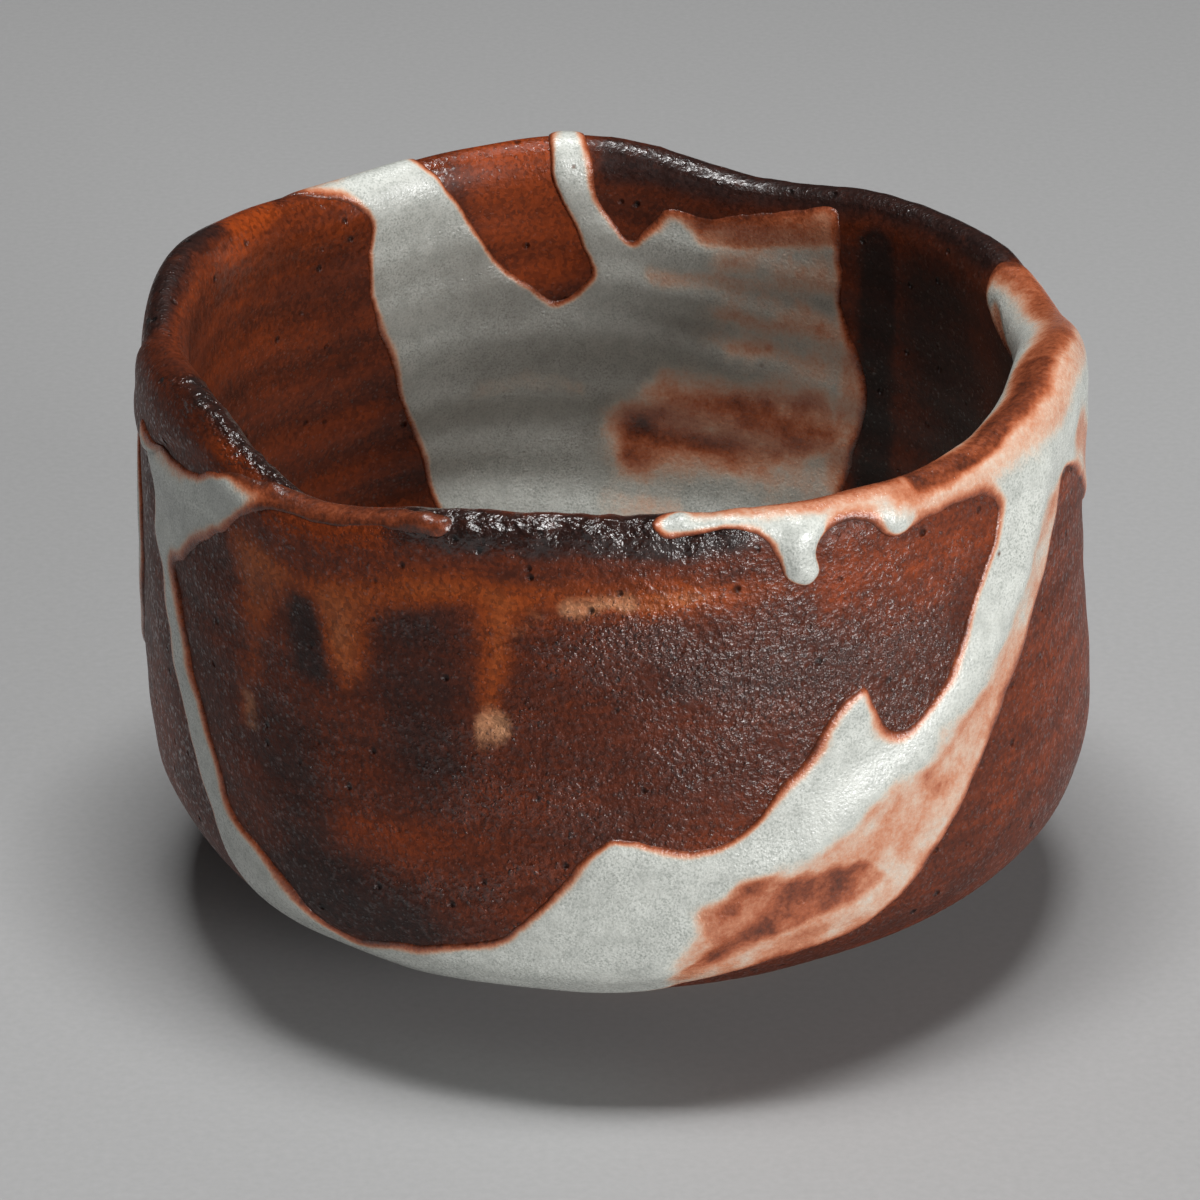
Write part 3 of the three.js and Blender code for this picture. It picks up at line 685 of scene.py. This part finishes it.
def glazeThinness(deg, along, base):  # areas and lines, with wandering edges and streaks down the sweep
    g = glaze
    wander = noiseSum(base, g["wander"])
    across, zero = deg * perDegree, along * 0
    slant = np.stack([(across + along) / g["slant"][0], (across - along) / g["slant"][1], zero], -1)
    level = np.stack([nearTurn(deg, 180) * perDegree / g["level"][0], along / g["level"][1], zero], -1)
    streak = np.where(along > 0, g["levelShare"] * valueNoise(level, 1.0, 24), valueNoise(slant, 1.0, 17))
    streak = streak + noiseSum(base, g["mottle"])
    thin = bandMask(deg + g["wanderTurn"] * wander, along + g["wanderAlong"] * wander, thinLines)
    for outline, soft, amount in thinAreas.values():
        inside = smooth(insideDistance(deg, along, outline) + wander, -soft, soft)
        thin = np.maximum(thin, inside * (amount + g["streak"] * streak))
    return np.clip(thin, 0, 1)


# With d the distance inside the outline, height = thickness x sqrt(1 - (1 - d/roll)^2)
def glazeSkin(key, deg, along, step=None):
    g = glaze
    fields = {run: insideDistance(deg, along, points) for run, points in outlines.items()}
    fields["pool"] = poolDistance(deg, along)
    base = wallBase(deg, along)
    d = meltTogether(list(fields.values())) + noiseSum(base, g["waver"])
    margin = fields[key] - np.max([field for run, field in fields.items() if run != key], 0)
    inner = np.clip(d, 0, None)
    thin = glazeThinness(deg, along, base)
    fat = bandMask(deg, along, fatPlaces)
    edge = np.sqrt(1 - (1 - np.clip(inner / g["roll"], 0, 1)) ** 2)
    thick = g["thickness"] * (1 + noiseSum(base, g["uneven"])) * (1 - g["thinLoss"] * thin)
    height = (thick + fat) * edge - g["under"] - g["skirt"] * np.clip(-d, 0, 1)
    height = height - g["lapSink"] * smooth(-margin, 0, g["lap"])
    fade = g["fadeLeast"] + g["fadeMore"] * (0.5 + 0.5 * valueNoise(base, g["fadeSize"], 18)) ** 2
    fade = fade * (1 - g["fatWhite"] * np.clip(fat / g["fatFull"], 0, 1))  # fat drops are white to the edge
    depth = smooth(inner, -g["fadeStart"] * fade, fade) * (1 - thin)
    # Painted shade on the inside wall: rising from 4-20 mm inside the crest, gone by 42-54 mm, patchy
    paintedShade = smooth(along, *g["paintedShadeFrom"]) * (1 - smooth(along, *g["paintedShadeTo"]))
    paintedShade = paintedShade * (g["paintedShade"] + noiseSum(base, g["paintedShadePatch"]))
    if step:  # points just outside are drawn onto the outline, down the slope of d
        slope = np.stack(np.gradient(d, step), -1)
        steep = np.maximum((slope ** 2).sum(-1), g["leastSlope"])
        outsideBy = np.where(d < 0, -d, 0) / steep
        along = along + np.clip(outsideBy * slope[..., 0], -step, step)
        deg = deg + np.clip(outsideBy * slope[..., 1], -step, step) / perDegree
    top = standOff(deg, along, height)
    bottom = standOff(deg, along, np.full(deg.shape, -g["sunk"]))
    return d, margin, top, bottom, {"depth": depth, "paintedShade": paintedShade}


def shellFaces(keep, columns, count):  # top quads, reversed bottom quads, and walls round the kept cells
    padded = np.pad(keep, 1)
    i, j = np.nonzero(keep)
    a, b = i * columns + j, i * columns + j + 1
    c, e = (i + 1) * columns + j + 1, (i + 1) * columns + j
    faces = [np.column_stack([a, b, c, e]), np.column_stack([e, c, b, a]) + count]
    sides = [(a, b, padded[:-2, 1:-1]), (b, c, padded[1:-1, 2:]),
             (c, e, padded[2:, 1:-1]), (e, a, padded[1:-1, :-2])]
    for start, end, beyond in sides:
        free = ~beyond[i, j]
        s, t = start[free], end[free]
        faces.append(np.column_stack([s + count, t + count, t, s]))
    return np.vstack(faces)


def cellCorners(grid):  # values at the four corners of each cell
    return np.stack([grid[:-1, :-1], grid[:-1, 1:], grid[1:, 1:], grid[1:, :-1]])


def wallGrid(key, step):  # points of one shared lattice on the wall, round an outline
    points = np.array(outlines[key])
    low, high = points.min(0) - glaze["room"], points.max(0) + glaze["room"]
    turn = step / perDegree
    columns = np.arange(np.floor(low[0] / turn), np.ceil(high[0] / turn) + 1) * turn
    rows = np.arange(np.floor(low[1] / step), np.ceil(high[1] / step) + 1) * step
    along, deg = np.meshgrid(rows, columns, indexing="ij")
    return deg, along


def glazePiece(name, key, node, step):  # shell over the lattice cells that the run covers
    d, margin, top, bottom, paint = glazeSkin(key, *wallGrid(key, step), step)
    rows, columns = d.shape
    keep = (cellCorners(d) > 0).any(0) & (cellCorners(margin) > -glaze["lap"]).all(0)
    faces = shellFaces(keep, columns, rows * columns)
    used, faces = np.unique(faces, return_inverse=True)
    points = np.vstack([top.reshape(-1, 3), bottom.reshape(-1, 3)])[used]
    attributes = {mask: np.tile(values.ravel(), 2)[used] for mask, values in paint.items()}
    makePiece(name, points, faces.reshape(-1, 4).tolist(), attributes, paleGlaze, node)


def poolPiece():  # rings from the middle out below, over the edge, and back in above
    columns, rings = pool["columns"], pool["rings"]
    turn = np.arange(columns) * 360 / columns - 180
    share, deg = np.meshgrid(np.linspace(1, pool["hole"], rings), turn, indexing="ij")
    onFloor = section[:, 0] > pool["floorFrom"]
    radius = share * (poolEdge(deg) + pool["past"])
    along = np.interp(-radius, -section[onFloor, 1], section[onFloor, 0])
    _, _, top, bottom, paint = glazeSkin("pool", deg, along)
    tips = [bottom[-1].mean(0), top[-1].mean(0)]
    points = np.vstack([bottom[::-1].reshape(-1, 3), top.reshape(-1, 3), tips])
    faces = closedFaces(2 * rings, columns)
    attributes = {}
    for mask, values in paint.items():
        middle = values[-1].mean()
        attributes[mask] = np.r_[values[::-1].ravel(), values.ravel(), middle, middle]
    makePiece("floorPool", points, faces, attributes, paleGlaze, "glaze_inner_pool")


runs = [
    ("frontSweep", "sweep", "glaze_front_sweep", "fine"),
    ("leftRun", "leftRun", "glaze_left_run", "fine"),
    ("sideRun", "sideRun", "glaze_side_run", "fine"),
    ("leftRimPatch", "leftRim", "glaze_left_rim", "fine"),
    ("rimRun", "rimRun", "glaze_rim_run", "fine"),
    ("innerPanel", "panel", "glaze_inner_panel", "coarse"),
    ("backRun", "backRun", "glaze_back_run", "coarse"),
]
for pieceName, key, node, lattice in runs:
    glazePiece(pieceName, key, node, glaze[lattice])
poolPiece()

# Clay paint: the thin orange veil's outline, then bands for the other marks
clayPaint = dict(
    veil=[(-51, -9), (-50, -14), (-48.5, -24.7), (-49, -33.6), (-47, -36), (-44.5, -31), (-43, -23),
          (-40.5, -16), (-38.5, -13.7), (-35.5, -16.2), (-33.5, -22.4), (-31.5, -24.7), (-30, -22),
          (-28, -17), (-25, -13.5), (-21, -12), (-16.5, -11.8), (-15.5, -16.5), (-16, -24.7),
          (-15, -29.3), (-13.5, -30.3), (-12.5, -29.3), (-11, -23), (-9.5, -16.2), (-5.5, -14),
          (1, -13.7), (9, -12.9), (17, -12.6), (22, -12), (20, -9), (10, -7.4), (-5.5, -6.6),
          (-19.5, -6.6), (-38.5, -7.4)],
    pale=[([(-46.6, -32), (-46.2, -34.8)], 2.0, 0.55), ([(-33, -15), (-31.5, -22.5)], 2.0, 0.3),
          ([(-13.8, -27.8), (-13.6, -28.6)], 2.3, 0.95), ([(-5, -12), (2, -11.5)], 1.6, 0.75),
          ([(2, -11.5), (10, -10.8)], 1.6, 0.35), ([(-12, -17), (-9, -13)], 1.6, 0.35)],
    charAndShade=[([(-38, -14), (-36.5, -22)], 3.6, 0.75), ([(-23, -16), (-21, -34)], 7, 0.6),
          ([(-36, -55), (-26, -58)], 10, 0.75), ([(-41, -36), (-37, -50)], 7, 0.6),
          ([(-58, -24), (-56, -36)], 4, 0.25), ([(-16, -50), (8, -38)], 7, 0.35),
          ([(-24, -2), (-10, -2.4), (14, -2.4)], 3.8, 1.0),
          ([(-82, -3), (-66, -3.5), (-58, -1)], 4.5, 0.5), ([(-66, 1.5), (-54, 1), (-42, 1)], 2.6, 1.1),
          ([(-112, 0), (-86, -1)], 3.5, 0.8),
          ([(179, 3), (160, 1.5), (140, 0.5), (116, 0.5)], 4.5, 0.9), ([(138, 8), (139, 50)], 4.0, 1.0),
          # The two wide bands inside the right wall, 85 to 126 degrees, are part char and part painted
          # shade for the shadow there
          ([(126, 14), (118, 40)], 12, 0.7), ([(95, 16), (85, 40)], 20, 0.75),
          ([(8, -19), (26, -22)], 6, 0.4), ([(44, -24), (36, -28)], 5, 0.35),
          ([(24, -64), (44, -62), (58, -52)], 3, 0.4)],
    red=[([(28, -10), (48, -11)], 6, 0.5), ([(70, -26), (60, -46), (84, -40)], 15, 0.25),
         ([(-132, 16), (-100, 20)], 26, 0.25), ([(-130, 44), (-60, 44)], 18, 0.65),
         ([(-166, 4), (-170, 14)], 8, 1.2), ([(-50, 30), (0, 30)], 34, 0.8),
         ([(-70, -45), (-76, -60)], 10, 0.45), ([(-40, -46), (0, -50), (10, -44)], 6, 0.3),
         ([(-170, -40), (120, -40)], 40, 0.6), ([(-80, -4), (-64, -5)], 5, 0.25),
         ([(-124, -1), (-112, 2)], 4, 1.0)],
    gloss=[([(-22, -1), (14, -1.5)], 4, 0.8), ([(-72, 2), (-66, 1.4), (-54, 1), (-43, 0.8)], 2.6, 1.0),
           ([(180, 2), (160, 1), (140, 0), (112, 0)], 6, 0.3),
           ([(-150, 4), (-130, 6), (-110, 4)], 6, 0.6)],
    grit=[([(4, -15), (34, -28)], 12, 0.9), ([(-14, -34), (16, -36)], 9, 0.4),
          ([(-22, -54), (10, -44)], 7, 0.35), ([(-24, -1), (14, -1.5)], 4, 0.8),
          ([(-66, 1), (-43, 0.8)], 3, 0.9), ([(24, -10), (48, -14)], 7, 0.3)],
)

clayMesh = dict(
    columns=[(-80, 80, 340), (80, 280, 180)],  # spans of (from, to, steps)
    rows=[(alongUnder + 0.5, alongSeat, 11), (alongSeat, -9, 95), (-9, 9, 25), (9, 50, 25), (50, 74, 25),
          (74, alongFloor - 0.5, 7)],
    waver=[(0.7, 4.0, 21), (0.3, 1.6, 22)], waverTurn=0.8, drift=[(1.6, 10.0, 25)],
    veilEdge=(-1.6, 3.6), veilShare=0.75, veilPatch=[(0.45, 7.0, 23)], veilLip=(5.5, 12),
    gritOut=0.4, gritIn=0.15, gritLip=3.0, gritPatch=[(0.5, 5.0, 27), (0.35, 2.0, 28)], gritLoss=0.4,
    # Painted light and shade on the throwing rings, outside and inside
    ringOut=0.2, ringIn=0.5,
)


def spread(spans):  # points spaced evenly over spans of (from, to, steps), without the last end
    return np.hstack([np.linspace(low, high, steps, endpoint=False) for low, high, steps in spans])


def clayMasks(deg, along):  # painted bands and the veil with wavering edges, grit with gaps, and painted light and shade along the rings
    c = clayMesh
    base = wallBase(deg, along)
    waver = noiseSum(base, c["waver"])
    inside = insideDistance(deg, along, clayPaint["veil"]) + waver + noiseSum(base, c["drift"])
    veil = smooth(inside, *c["veilEdge"])
    patchy = c["veilShare"] + noiseSum(base, c["veilPatch"])
    masks = {"veil": veil * patchy * smooth(-along, *c["veilLip"])}
    for key in ("pale", "charAndShade", "red", "gloss"):
        masks[key] = bandMask(deg + c["waverTurn"] * waver, along + waver, clayPaint[key])
    grit = np.where(along > c["gritLip"], c["gritIn"], c["gritOut"])
    grit = (grit + bandMask(deg, along, clayPaint["grit"])) * (1 + noiseSum(base, c["gritPatch"]))
    masks["grit"] = grit * (1 - c["gritLoss"] * np.clip(veil, 0, 1))
    # Painted light and shade: colour in step with the rings' relief, lighter on the ridges, darker in the
    # grooves
    masks["ring"] = np.where(along > 0, c["ringIn"], c["ringOut"]) * ringWave(deg, along, base)
    return masks


def clayBody():  # rings from the middle of the underside, over the lip, to the middle of the floor
    columns = spread(clayMesh["columns"])
    rows = np.r_[spread(clayMesh["rows"]), clayMesh["rows"][-1][1]]
    along, deg = np.meshgrid(rows, columns, indexing="ij")
    points = standOff(deg, along, np.zeros(deg.shape)).reshape(-1, 3)
    tips = standOff(np.zeros(2), np.array([alongUnder, alongFloor]), np.zeros(2))
    attributes = {key: np.r_[mask.ravel(), 0, 0] for key, mask in clayMasks(deg, along).items()}
    faces = closedFaces(len(rows), len(columns))
    makePiece("clayBody", np.vstack([points, tips]), faces, attributes, clay, "clay_body")


clayBody()

footShape = dict(
    radius=28.5, width=6.0, flare=1.2, bevel=0.8, sunk=0.6, wobble=[(0.25, 9.0, 31)], wobbleFrom=1.5,
    columns=300, sideSteps=8,
)


def footRing():  # closed section carried round the axis, with a slow hand-cut wobble
    f = footShape
    inner = f["radius"] - f["width"]
    top = wall["footHeight"] + f["sunk"]
    corners = [(f["radius"] - f["bevel"], 0), (f["radius"], f["bevel"]), (f["radius"] + f["flare"], top),
               (inner - f["flare"], top), (inner, f["bevel"]), (inner + f["bevel"], 0)]
    sides = zip(corners, corners[1:] + corners[:1])
    line = np.vstack([np.linspace(a, b, f["sideSteps"], endpoint=False) for a, b in sides])
    angle = np.radians(np.arange(f["columns"]) * 360 / f["columns"])
    r, a = np.meshgrid(line[:, 0], angle, indexing="ij")
    z = np.repeat(line[:, 1][:, None], f["columns"], 1)
    flat = np.stack([r * np.sin(a), -r * np.cos(a), z], -1)
    r = r + noiseSum(flat, f["wobble"]) * smooth(z, 0, f["wobbleFrom"])
    points = np.stack([r * np.sin(a), -r * np.cos(a), z], -1)
    rings = len(line)
    faces = ringFaces(rings + 1, f["columns"]) % (rings * f["columns"])
    makePiece("footRing", points.reshape(-1, 3), faces.tolist(), {}, bareClay, "foot_ring")


footRing()

# Stage: pale floor, one soft panel from the front right, a soft top light and a grey surround
stage = dict(
    floorSize=4.0, floorDark=(0.36, 0.36, 0.36), floorLight=(0.42, 0.42, 0.42), floorGrain=900.0,
    floorRough=0.85, surround=0.03,
)


def makeFloor():  # one flat square, its fine grain between two greys
    half = stage["floorSize"] / 2
    corners = [(-half, -half, 0), (half, -half, 0), (half, half, 0), (-half, half, 0)]
    mesh = bpy.data.meshes.new("floor")
    mesh.from_pydata(corners, [], [(0, 1, 2, 3)])
    material, tree, shader, place = newMaterial("paleFloor")
    grain = noiseOf(tree, place, stage["floorGrain"])
    tree.links.new(mixColour(tree, grain, stage["floorDark"], stage["floorLight"]), shader["Base Color"])
    shader["Roughness"].default_value = stage["floorRough"]
    mesh.materials.append(material)
    floor = bpy.data.objects.new("floor", mesh)
    bpy.context.scene.collection.objects.link(floor)


def pointAt(thing, target):  # turned so that its own -Z looks at the target
    thing.rotation_euler = (Vector(target) - thing.location).to_track_quat("-Z", "Y").to_euler()


lamps = [
    dict(name="frontPanel", at=(1.38, -1.44, 0.32), aim=(0, 0, 0.04), size=(0.9, 0.8), power=42.0),
    dict(name="topPanel", at=(0.0, -0.05, 1.1), aim=(0, 0, 0.04), size=(0.5, 0.2), power=11.0),
]


def makeLights():  # the area lamps, and an even grey round about
    for lamp in lamps:
        data = bpy.data.lights.new(lamp["name"], "AREA")
        data.shape = "RECTANGLE"
        data.size, data.size_y = lamp["size"]
        data.energy = lamp["power"]
        light = bpy.data.objects.new(lamp["name"], data)
        light.location = lamp["at"]
        bpy.context.scene.collection.objects.link(light)
        pointAt(light, lamp["aim"])
    world = bpy.data.worlds.new("surround")
    world.use_nodes = True
    world.node_tree.nodes["Background"].inputs["Color"].default_value = (stage["surround"],) * 3 + (1,)
    bpy.context.scene.world = world


camera = dict(distance=650.0, elevation=26.0, middle=45.0, aim=(-1.45, -1.75, 41.4), lens=148.26,
              sensor=36.0, near=0.01)


def makeCamera():  # in front and above: distance x (cos, sin) of the elevation
    data = bpy.data.cameras.new("camera")
    data.lens = camera["lens"]
    data.sensor_width = camera["sensor"]
    data.clip_start = camera["near"]
    view = bpy.data.objects.new("camera", data)
    lift = np.radians(camera["elevation"])
    view.location = Vector((0, -camera["distance"] * np.cos(lift),
                            camera["middle"] + camera["distance"] * np.sin(lift))) * metre
    pointAt(view, Vector(camera["aim"]) * metre)
    bpy.context.scene.collection.objects.link(view)
    bpy.context.scene.camera = view


makeFloor()
makeLights()
makeCamera()
bpy.context.scene.view_settings.view_transform = "Standard"
print("stage made")
